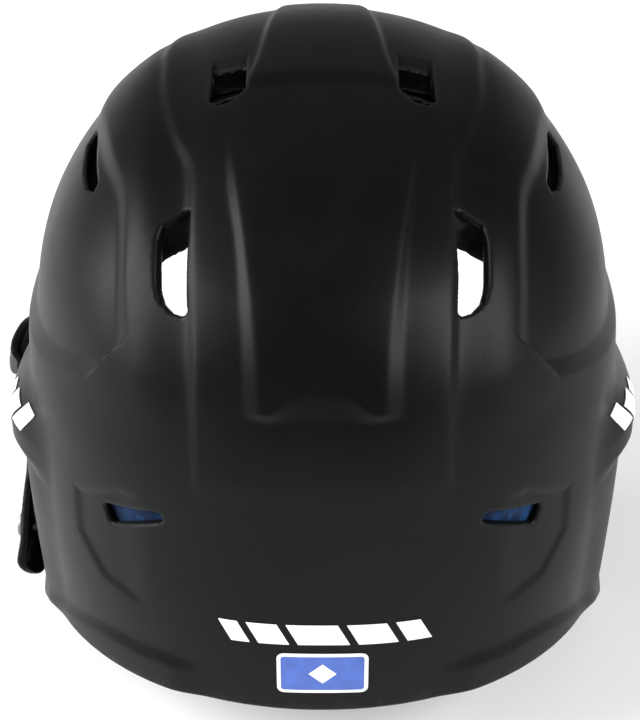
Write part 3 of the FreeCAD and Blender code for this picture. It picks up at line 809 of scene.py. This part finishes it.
def metal(name, base, rough=0.3):
    """Zinc-plated steel with fine brush marks and slight tarnish."""
    mat, tree, shader, where = start_material(name, rough, Metallic=1.0)
    cloud = noise(tree, where, 300, 4)
    darker = tuple(c * 0.72 for c in base)
    paint(tree, shader, ranged(tree, cloud, 0, 1, 0.35, 0.7), darker, base,
          ranged(tree, cloud, rough - 0.08, rough + 0.16, 0.3, 0.7))
    bumps(tree, shader, [(noise(tree, turned(tree, where, Scale=(1, 1, 14)), 420, 2), 0.00005, 0.4)])
    return mat


def printed(name, dark, light, rough=0.32):
    """Satin print film with slightly uneven ink."""
    mat, tree, shader, where = start_material(name, rough, Coat_Weight=0.15, Coat_Roughness=0.25)
    cloud = noise(tree, where, 140, 4)
    paint(tree, shader, ranged(tree, cloud, 0, 1, 0.3, 0.7), dark, light,
          ranged(tree, cloud, rough - 0.05, rough + 0.12, 0.3, 0.7))
    bumps(tree, shader, [(noise(tree, where, 900, 2), 0.00004, 0.5)])
    return mat


def thread(name, dark, light):
    """Sewing thread with a twist."""
    mat, tree, shader, where = start_material(name, 0.7, Sheen_Weight=0.2)
    across = turned(tree, where, Rotation=(0.6, 0.4, 0.8))
    wave = node(tree, "ShaderNodeTexWave", [("Vector", across), ("Scale", 700.0), ("Distortion", 0.5)])
    twist = wave.outputs["Fac"]
    paint(tree, shader, twist, dark, light, ranged(tree, twist, 0.6, 0.8))
    bumps(tree, shader, [(twist, 0.00008, 0.7)])
    return mat


SHELL_PLASTIC = moulded("shell_plastic", (0.0016, 0.0017, 0.0019), (0.0027, 0.0029, 0.0031), (0.35, 0.43))
GUARD_PLASTIC = moulded("guard_plastic", (0.0014, 0.0015, 0.0017), (0.0024, 0.0025, 0.0028), (0.34, 0.44),
                        grain=900.0)
# The cap's light grey colour is a painted reflection: it stands in for a lamp reflecting off the cap's rear
# face.
CAP_PAINTED_REFLECTION = moulded("cap_painted_reflection", (0.075, 0.075, 0.08), (0.11, 0.11, 0.115), (0.34, 0.44), edge_wear_and_highlight=0.14)
LINER_FOAM = foam("liner_foam", (0.010, 0.010, 0.012), (0.036, 0.036, 0.04))
REAR_FOAM = foam("rear_foam", (0.0012, 0.010, 0.036), (0.004, 0.034, 0.11))
GUARD_FOAM = foam("guard_pad_foam", (0.018, 0.018, 0.02), (0.04, 0.04, 0.045), bead=900.0)
PAD_KNIT = knit("pad_knit", (0.013, 0.013, 0.015), (0.05, 0.05, 0.056))
PIPING_KNIT = knit("piping_knit", (0.02, 0.02, 0.022), (0.07, 0.07, 0.075), pitch=0.0006)
PAD_THREAD = thread("pad_thread", (0.05, 0.05, 0.055), (0.16, 0.16, 0.17))
SCREW_STEEL = metal("screw_steel", (0.26, 0.26, 0.27), 0.36)
NUT_STEEL = metal("nut_steel", (0.48, 0.48, 0.49), 0.38)
BUSHING_RUBBER = foam("bushing_rubber", (0.012, 0.012, 0.012), (0.03, 0.03, 0.03), bead=1600.0, rough=0.7)
WHITE_PRINT = printed("white_print", (0.72, 0.73, 0.74), (0.85, 0.85, 0.86))
BLUE_PRINT = printed("blue_print", (0.022, 0.07, 0.34), (0.04, 0.115, 0.48))


def settle_piece(obj, body, mat, nodes=()):
    """Gives a finished piece its material and tells the frame about it."""
    obj.data.materials.clear()
    obj.data.materials.append(mat)
    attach(obj, body)
    if nodes:
        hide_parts(*nodes)
    return obj


# ==== shell
def add_wear_and_highlight(obj, field, span=1.1):
    """Stores how sharply the surface turns outward at each vertex, as 0..1, for edges painted paler as wear
    and painted highlight.
    """
    p = coordinates(obj)
    around = sum(field(*(p + s).T) + field(*(p - s).T) for s in np.eye(3) * span) - 6 * field(*p.T)
    wear_and_highlight = fade(around / span**2, 0.10, 0.60)
    layer = obj.data.attributes.new("wear_and_highlight", "FLOAT", "POINT")
    layer.data.foreach_set("value", wear_and_highlight.astype(np.float32))


def by_a_hole(x, y, z):
    """Close to the rim of a vent, a scoop or an ear hole."""
    holes = [vent(x, y, z) for vent in VENTS.values()]
    holes += [scoop(x, y, z, wall_gap(x, y, z)), ear_hole(x, y, z)]
    return np.min(np.abs(holes), axis=0) < 3.0


SHELL_VOXEL = 1.05
GUARD_VOXEL = 0.9
MOST_TRIANGLES = 190000
shell = sculpt("shell_moulding", shell_field, (-118, -190, -3), (118, 116, 234),
               SHELL_VOXEL, MOST_TRIANGLES, by_a_hole)
add_wear_and_highlight(shell, shell_field)
settle_piece(shell, "shell", SHELL_PLASTIC, ["outer_shell"])


# ==== jaw guard
GUARD_GAP = 7.6
GUARD_T = 4.0
GUARD_CURL = 5.0
GUARD_CURL_Z = 17.0
GUARD_PANEL = 0.9
GUARD_LINE = [(-40, 88), (-60, 86), (-84, 68), (-104, 52), (-116, 38), (-119, 24), (-112, 9), (-88, 3),
              (-40, 2), (-10, 2.5), (1, 6), (6, 15), (1, 28), (-14, 34), (-26, 39), (-33, 52),
              (-36, 66), (-35, 82)]
SCREW_SPOTS = [(-46, 77), (-45, 40), (-16, 17)]
SLIDE_TILT = math.radians(12.0)
SLIDE_TRAVEL = 4.0
AHEAD = np.array([-math.sin(SLIDE_TILT), -math.cos(SLIDE_TILT), 0])
OUT = np.array([math.cos(SLIDE_TILT), -math.sin(SLIDE_TILT), 0])
HEAD_R = 5.8
SHANK_R = 2.7
SEAT_DEPTH = 1.2
SHANK_REACH = 14.0
GUARD_INNER_X = 20.0
GUARD_SHAPE = Outline(curve_through(GUARD_LINE), margin=14, step=0.5)
STATIONS = march(np.array([(50.0, y, z) for y, z in SCREW_SPOTS]), ASIDE, wall_gap, GUARD_GAP + GUARD_T)


def slot_gap(x, y, z, centre, radius):
    """Distance to a round-ended channel along the slide, square to the guard."""
    dx, dy, dz = x - centre[0], y - centre[1], z - centre[2]
    run = dx * AHEAD[0] + dy * AHEAD[1]
    run = np.maximum(np.abs(run) - SLIDE_TRAVEL, 0)
    return np.hypot(run, dz) - radius


def depth_from(x, y, centre):
    """How far a point is outside a station, along the screw."""
    return (x - centre[0]) * OUT[0] + (y - centre[1]) * OUT[1]


def guard_field(x, y, z):
    """The guard: a plate at a distance from the wall, with a raised panel and three slots."""
    gap = wall_gap(x, y, z) + GUARD_CURL * fade(z, GUARD_CURL_Z, 0)
    d = GUARD_SHAPE(y, z)
    panel = GUARD_PANEL * fade(-d, 6.5, 9.0) * fade(y, -50, -64)
    plate = meet(gap - (GUARD_GAP + GUARD_T - panel), GUARD_GAP - gap, 1.3)
    plate = np.maximum(meet(plate, d, 1.4), GUARD_INNER_X - x)
    for centre in STATIONS:
        deep = depth_from(x, y, centre) + SEAT_DEPTH
        plate = carve(plate, np.maximum(slot_gap(x, y, z, centre, HEAD_R), -deep), 0.5)
        plate = carve(plate, np.maximum(slot_gap(x, y, z, centre, SHANK_R), -deep - SHANK_REACH), 0.3)
    return plate


guard = sculpt("jaw_guard_plate", guard_field, (50, -124, -2), (122, 8, 94), GUARD_VOXEL)
add_wear_and_highlight(guard, guard_field)
settle_piece(guard, "guard", GUARD_PLASTIC, ["jaw_guard"])


# ==== foam liner
FAR = 160.0
FOAM_VOXEL = 1.6
CROWN_HALF = [(37, -58), (37, 26), (57, 26), (57, 49)]
BLACK, BLUE = ("impact_foam", LINER_FOAM), ("rear_foam", REAR_FOAM)
# name: plan outline, low and high corner of the sampled box, heights, slot and material, twin on the right
LINERS = {
    "liner_front": ([(-58, -66), (58, -66), (40, -FAR), (-40, -FAR)],
                    (-62, -132, 126), (62, -62, 210), (130, 206), BLACK, None),
    "liner_crown": (CROWN_HALF + [(-x, y) for x, y in reversed(CROWN_HALF)],
                    (-61, -62, 176), (61, 60, 228), (180, 240), BLACK, None),
    "liner_rear": ([(-38, 60), (38, 60), (38, FAR), (-38, FAR)],
                   (-42, 56, 58), (42, 110, 204), (62, 200), BLACK, None),
    "liner_side_left": ([(44, -58), (44, 22), (FAR, 22), (FAR, -90)],
                        (40, -94, 100), (112, 26, 192), (104, 188), BLACK, "liner_side_right"),
    "liner_corner_left": ([(41, 28), (41, FAR), (FAR, FAR), (FAR, 28)],
                          (38, 24, 60), (112, 110, 176), (64, 171), BLUE, "liner_corner_right"),
}
for name, (points, low, high, heights, (slot_name, mat), twin) in LINERS.items():
    field = liner_block(points, heights, slot_name != "rear_foam")
    block = sculpt(name + "_foam", field, low, high, FOAM_VOXEL)
    blocks = [(name, block)] + ([(twin, mirror_copy(block, twin + "_foam"))] if twin else [])
    for target, piece in blocks:
        settle_piece(piece, "shell", mat, [target])


# ==== pads
# name: pad, low and high corner of the sampled box, twin on the right
PADS = {
    "pad_brow": (Pad(
        round_front,
        [(-52, 135), (-30, 133.5), (0, 133), (30, 133.5), (52, 135), (56, 149), (52, 164), (26, 165.5),
         (0, 166), (-26, 165.5), (-52, 164), (-56, 149)],
        PAD_OUT, PAD_T, [[(-19, 130), (-19, 170)], [(19, 130), (19, 170)]],
    ), (-60, -126, 128), (60, -60, 170), None),
    "pad_crown": (Pad(
        from_above,
        [(-24, -42), (0, -43.5), (24, -42), (25.5, -7), (24, 28), (0, 29.5), (-24, 28), (-25.5, -7)],
        PAD_OUT, PAD_T, [[(-30, -19), (30, -19)], [(-30, 5), (30, 5)]],
    ), (-30, -48, 190), (30, 34, 222), None),
    "pad_temple": (Pad(
        from_side,
        [(-70, 112), (-50, 110), (-20, 109.5), (12, 110), (15, 128), (12, 147), (-16, 149),
         (-44, 148.5), (-60, 146), (-74, 128)],
        PAD_OUT, PAD_T, [[(-46, 106), (-44, 152)], [(-17, 106), (-17, 152)]],
    ), (46, -80, 104), (96, 20, 154), "pad_temple_right"),
    "pad_nape": (Pad(
        round_back,
        [(8, 72), (30, 69.5), (64, 69.5), (96, 72), (106, 90), (102, 108), (70, 111), (34, 111),
         (8, 108), (6, 90)],
        PAD_OUT, PAD_T, [[(38, 66), (38, 114)], [(72, 66), (72, 114)]],
    ), (2, 26, 64), (92, 100, 116), "pad_nape_right"),
    "pad_ear": (Pad(
        from_side,
        [(-44, 10), (-53, 24), (-55, 52), (-51, 81), (-28, 95), (8, 95), (23, 79), (25, 50), (13, 24),
         (-6, 10)],
        LINER_OUT, EAR_PAD_T,
        [[(-60, 30), (-26, 36)], [(8, 36), (30, 32)], [(-36, 100), (-30, 78)], [(14, 100), (10, 78)]],
        hole=lambda x, y, z: ear_hole(x, y, z, 2.5),
    ), (60, -60, 4), (112, 30, 100), "pad_ear_right"),
}
GUARD_PAD_GAP = GUARD_GAP - 0.1
GUARD_PAD = Pad(from_side, [(-76, 59), (-95, 47), (-107, 36), (-109, 22), (-103, 15), (-81, 11), (-75, 30)],
                -GUARD_PAD_GAP, 7.0, [[(-70, 36), (-112, 30)]])

PAD_VOXEL = 2.6
PIN_BACK = 1.4
SEW_WIDTH = 1.9
MOST_PUFF = 2.0
PUFF_FRAMES = 20
PRESSURE = 4.0
PIPING_SIZE = 0.985
PIPING_RADIUS = 1.15
STITCH_SIZE = 0.90


def rough_pad(name, pad, low, high):
    """Even quad mesh of a pad, a little smaller than finished."""
    points, quads = surface(pad.field, low, high, PAD_VOXEL)
    return new_object(name, settle(pad.field, points), quads)


def set_up_puff(obj, pad):
    """Pins the back and the sewn channels, and lets pressure fill the rest."""
    p = coordinates(obj)
    gap = wall_gap(*p.T) + pad.outer
    held = (gap > -PIN_BACK) | (pad.to_channel(p) < SEW_WIDTH) & (gap < -2)
    group = obj.vertex_groups.new(name="sewn")
    group.add(np.nonzero(held)[0].tolist(), 1.0, "REPLACE")
    cloth = obj.modifiers.new("puff", "CLOTH")
    rules = cloth.settings
    rules.quality = 6
    rules.mass = 0.15
    rules.tension_stiffness = 12
    rules.compression_stiffness = 8
    rules.bending_stiffness = 0.4
    rules.use_pressure = True
    rules.uniform_pressure_force = PRESSURE
    rules.effector_weights.gravity = 0.0
    rules.vertex_group_mass = "sewn"
    cloth.point_cache.frame_start = 1
    cloth.point_cache.frame_end = PUFF_FRAMES
    return p


def keep_puff(obj, before):
    """Applies the cloth result with each point's travel capped, and smooths it once."""
    apply_modifiers(obj)
    move_to(obj, before + capped(coordinates(obj) - before, MOST_PUFF))
    finer = obj.modifiers.new("finer", "SUBSURF")
    finer.levels = finer.render_levels = 1
    apply_modifiers(obj)


def press_channels(obj, pad, depth=1.8, width=1.5):
    """Pulls the sewn channels down towards the wall."""
    p = coordinates(obj)
    inner = fade(-(wall_gap(*p.T) + pad.outer), 1.5, 4.0)
    press = depth * np.exp(-((pad.to_channel(p) / width) ** 2)) * inner
    move_to(obj, p + unit(slope_of(wall_gap, p)) * press[:, None])
    obj.data.shade_smooth()


def seam_work(name, pad):
    """Piping round the edge, and stitches beside it."""
    edge = pad.edge
    centre = edge.mean(0)
    inset = centre + (edge - centre) * PIPING_SIZE
    piping = tube(name + "_piping", place_on(pad, inset, -pad.outer - 2.4), PIPING_RADIUS, closed=True)
    row = centre + (edge - centre) * STITCH_SIZE
    row = np.vstack([row, row[:1]])
    face = pad.thickness(pad.rim(*place_on(pad, row, -pad.outer - 1.0).T))
    height = -pad.outer - face - 0.55
    sewn = stitches(name + "_stitches", place_on(pad, row, height))
    return piping, sewn


rough = {name: rough_pad(name + "_cushion", pad, low, high) for name, (pad, low, high, _) in PADS.items()}
rough["jaw_guard_pad"] = rough_pad("jaw_guard_cushion", GUARD_PAD, (56, -114, 6), (122, -68, 64))
before = {name: set_up_puff(obj, GUARD_PAD if name == "jaw_guard_pad" else PADS[name][0])
          for name, obj in rough.items()}
for frame_number in range(1, PUFF_FRAMES + 1):
    bpy.context.scene.frame_set(frame_number)
for name, obj in rough.items():
    keep_puff(obj, before[name])
bpy.context.scene.frame_set(1)

for name, (pad, _, _, twin) in PADS.items():
    obj = rough[name]
    press_channels(obj, pad)
    piping, sewn = seam_work(name, pad)
    left = name + "_left" if twin else name
    pairs = [(left, obj, piping, sewn)]
    if twin:
        ends = ("_cushion", "_piping", "_stitches")
        pairs.append((twin, *(mirror_copy(p, twin + end) for p, end in zip((obj, piping, sewn), ends))))
    for target, cushion, cord, row in pairs:
        settle_piece(cushion, "shell", PAD_KNIT, [target])
        settle_piece(cord, "shell", PIPING_KNIT)
        settle_piece(row, "shell", PAD_THREAD)

press_channels(rough["jaw_guard_pad"], GUARD_PAD)
settle_piece(rough["jaw_guard_pad"], "guard", GUARD_FOAM, ["jaw_guard_pad"])
guard_edge = place_on(GUARD_PAD, GUARD_PAD.edge, GUARD_PAD_GAP - 2.2)
guard_piping = tube("jaw_guard_cushion_piping", guard_edge, 1.0, closed=True)
settle_piece(guard_piping, "guard", PIPING_KNIT)


# ==== print on the outside
def skin_gap(x, y, z):
    """Distance from the finished outer skin."""
    return wall_gap(x, y, z) - relief(x, y, z)


def film(name, polygons, to_point, lift=0.12, thick=0.30, cell=1.6):
    """Thin print: flat polygons cut into small cells and laid on the skin."""
    bm = bmesh.new()
    for polygon in polygons:
        bm.faces.new([bm.verts.new((u, v, 0)) for u, v in polygon])
    corners = np.array([p for polygon in polygons for p in polygon], float)
    low, high = corners.min(0), corners.max(0)
    for axis in (0, 1):
        for at in np.arange(low[axis] + cell, high[axis], cell):
            normal = np.eye(3)[axis]
            everything = bm.verts[:] + bm.edges[:] + bm.faces[:]
            bmesh.ops.bisect_plane(bm, geom=everything, plane_co=normal * at, plane_no=normal)
    flat = np.array([v.co for v in bm.verts])[:, :2]
    placed = to_point(flat, lift) * MM
    for v, p in zip(bm.verts, placed):
        v.co = p
    mesh = bpy.data.meshes.new(name)
    bm.to_mesh(mesh)
    bm.free()
    obj = linked(name, mesh)
    if obj.data.polygons[0].normal.dot(Vector(placed.mean(0) - np.array([0, 0, 0.08]))) < 0:
        obj.data.flip_normals()
    skin = obj.modifiers.new("thick", "SOLIDIFY")
    skin.thickness = thick * MM
    skin.offset = 1.0
    apply_modifiers(obj)
    obj.data.shade_smooth()
    obj.data.set_sharp_from_angle(angle=math.radians(40))
    return obj


def on_back(flat, lift):
    """Points drawn in x and z, on the back of the skin."""
    return march(np.insert(flat, 1, 50, axis=1), BACKWARD, skin_gap, lift)


def on_side(flat, lift):
    """Points drawn in y and z, on the wearer's-left side of the skin."""
    return march(np.insert(flat, 0, 50, axis=1), ASIDE, skin_gap, lift)


BAR_SLANT = 4.0
REAR_BARS = [(-36, 8), (-25, 13), (-9, 17), (11, 10), (24, 6)]
REAR_BAR_Z = (78.0, 87.0)
SIDE_BARS = [(9, 7), (19, 10), (32, 7)]
SIDE_BAR_LOW_Z = 101.0
SIDE_BAR_CLIMB = 0.3
SIDE_BAR_HEIGHT = 10.0
BADGE_Z = 64.0
BADGE_HALF = (15.2, 9.5)
BADGE_BORDER = 1.3
BADGE_CORNER = 2.5
BADGE_MARK = 4.6
WHITE = ("trim_white", WHITE_PRINT)


def slanted(start, width, low, high):
    return [(start, low), (start + width, low), (start + width + BAR_SLANT, high), (start + BAR_SLANT, high)]


def rounded_rectangle(inset):
    """Corner-rounded rectangle round the badge's centre."""
    w, h = BADGE_HALF[0] - inset, BADGE_HALF[1] - inset
    r = max(0.6, BADGE_CORNER - inset)
    points = []
    for i, (sx, sz) in enumerate(((1, 1), (-1, 1), (-1, -1), (1, -1))):
        for step in range(6):
            turn = math.radians(90 * i + 18 * step)
            points.append((sx * (w - r) + r * math.cos(turn), BADGE_Z + sz * (h - r) + r * math.sin(turn)))
    return points


def ring_quads(outer, inner):
    """Strip of quads between two outlines."""
    n = len(outer)
    return [[outer[i], outer[(i + 1) % n], inner[(i + 1) % n], inner[i]] for i in range(n)]


def side_bar(y, width):
    low = SIDE_BAR_LOW_Z + SIDE_BAR_CLIMB * y
    return slanted(y, width, low, low + SIDE_BAR_HEIGHT)


badge = rounded_rectangle(BADGE_BORDER)
mark = [(-BADGE_MARK, BADGE_Z), (0, BADGE_Z - BADGE_MARK), (BADGE_MARK, BADGE_Z), (0, BADGE_Z + BADGE_MARK)]
print_jobs = [
    ("rear_bars", [slanted(x, w, *REAR_BAR_Z) for x, w in REAR_BARS], on_back, 0.12, WHITE),
    ("side_bars_left", [side_bar(y, w) for y, w in SIDE_BARS], on_side, 0.12, WHITE),
    ("badge_frame", ring_quads(rounded_rectangle(0.0), badge), on_back, 0.14, WHITE),
    ("badge_field", [badge], on_back, 0.10, ("trim_blue", BLUE_PRINT)),
    ("badge_mark", [mark], on_back, 0.30, WHITE),
]
for target, polygons, to_point, lift, (slot_name, mat) in print_jobs:
    piece = film(target + "_print", polygons, to_point, lift)
    if target == "side_bars_left":
        twin = mirror_copy(piece, "side_bars_right_print")
        settle_piece(twin, "shell", mat, ["side_bars_right"])
    settle_piece(piece, "shell", mat, [target])


# ==== fasteners carried over from the frame
# guard_cap gets the light grey material that paints in a lamp reflection.
CARRIED = {"guard_screws": SCREW_STEEL, "guard_nuts": NUT_STEEL, "guard_bushings": BUSHING_RUBBER,
           "guard_cap": CAP_PAINTED_REFLECTION}
for node_name, mat in CARRIED.items():
    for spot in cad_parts[node_name].material_slots:
        spot.material = mat


# ==== floor, light and camera
def aim_from(obj, place, target):
    """Puts a lamp or camera somewhere and turns it to a target."""
    obj.location = place
    obj.rotation_euler = (target - place).to_track_quat("-Z", "Y").to_euler()


def softbox(name, place, size, power):
    """Rectangular lamp aimed at the middle of the helmet."""
    lamp = bpy.data.lights.new(name, "AREA")
    lamp.shape = "RECTANGLE"
    lamp.size, lamp.size_y = size
    lamp.energy = power
    aim_from(linked(name, lamp), Vector(place), LAMP_AIM)


FLOOR_SIZE = 12.0
FLOOR_Z = -0.0005
LAMP_AIM = Vector((0, 0, 0.1))
bpy.ops.mesh.primitive_plane_add(size=FLOOR_SIZE, location=(0, 0, FLOOR_Z))
floor = bpy.context.object
floor.name = "floor"
pale, tree, shader, where = start_material("pale_floor", 0.9)
paint(tree, shader, noise(tree, where, 3, 3), (0.78, 0.78, 0.78), (0.82, 0.82, 0.82))
floor.data.materials.append(pale)

softbox("left_box", (1.58, 0.16, 0.96), (1.5, 1.3), 78)
softbox("right_box", (-1.45, 0.8, 1.1), (0.8, 1.3), 50)

AMBIENT = 0.28
world = bpy.data.worlds.new("studio")
bpy.context.scene.world = world
world.use_nodes = True
sky = world.node_tree.nodes["Background"].inputs
sky["Color"].default_value = (1.0, 1.0, 1.0, 1.0)
sky["Strength"].default_value = AMBIENT

TARGET = Vector((0, 0, 0.111))
ELEVATION = math.radians(38.0)
DISTANCE = 0.75
FOCAL_LENGTH = 104.25
SHIFT_X = -0.0035
lens = bpy.data.cameras.new("camera")
lens.lens = FOCAL_LENGTH
lens.sensor_width = 36.0
lens.shift_x = SHIFT_X
camera = linked("camera", lens)
aim_from(camera, TARGET + Vector((0, math.cos(ELEVATION), math.sin(ELEVATION))) * DISTANCE, TARGET)
bpy.context.scene.camera = camera
bpy.context.scene.view_settings.view_transform = "Standard"
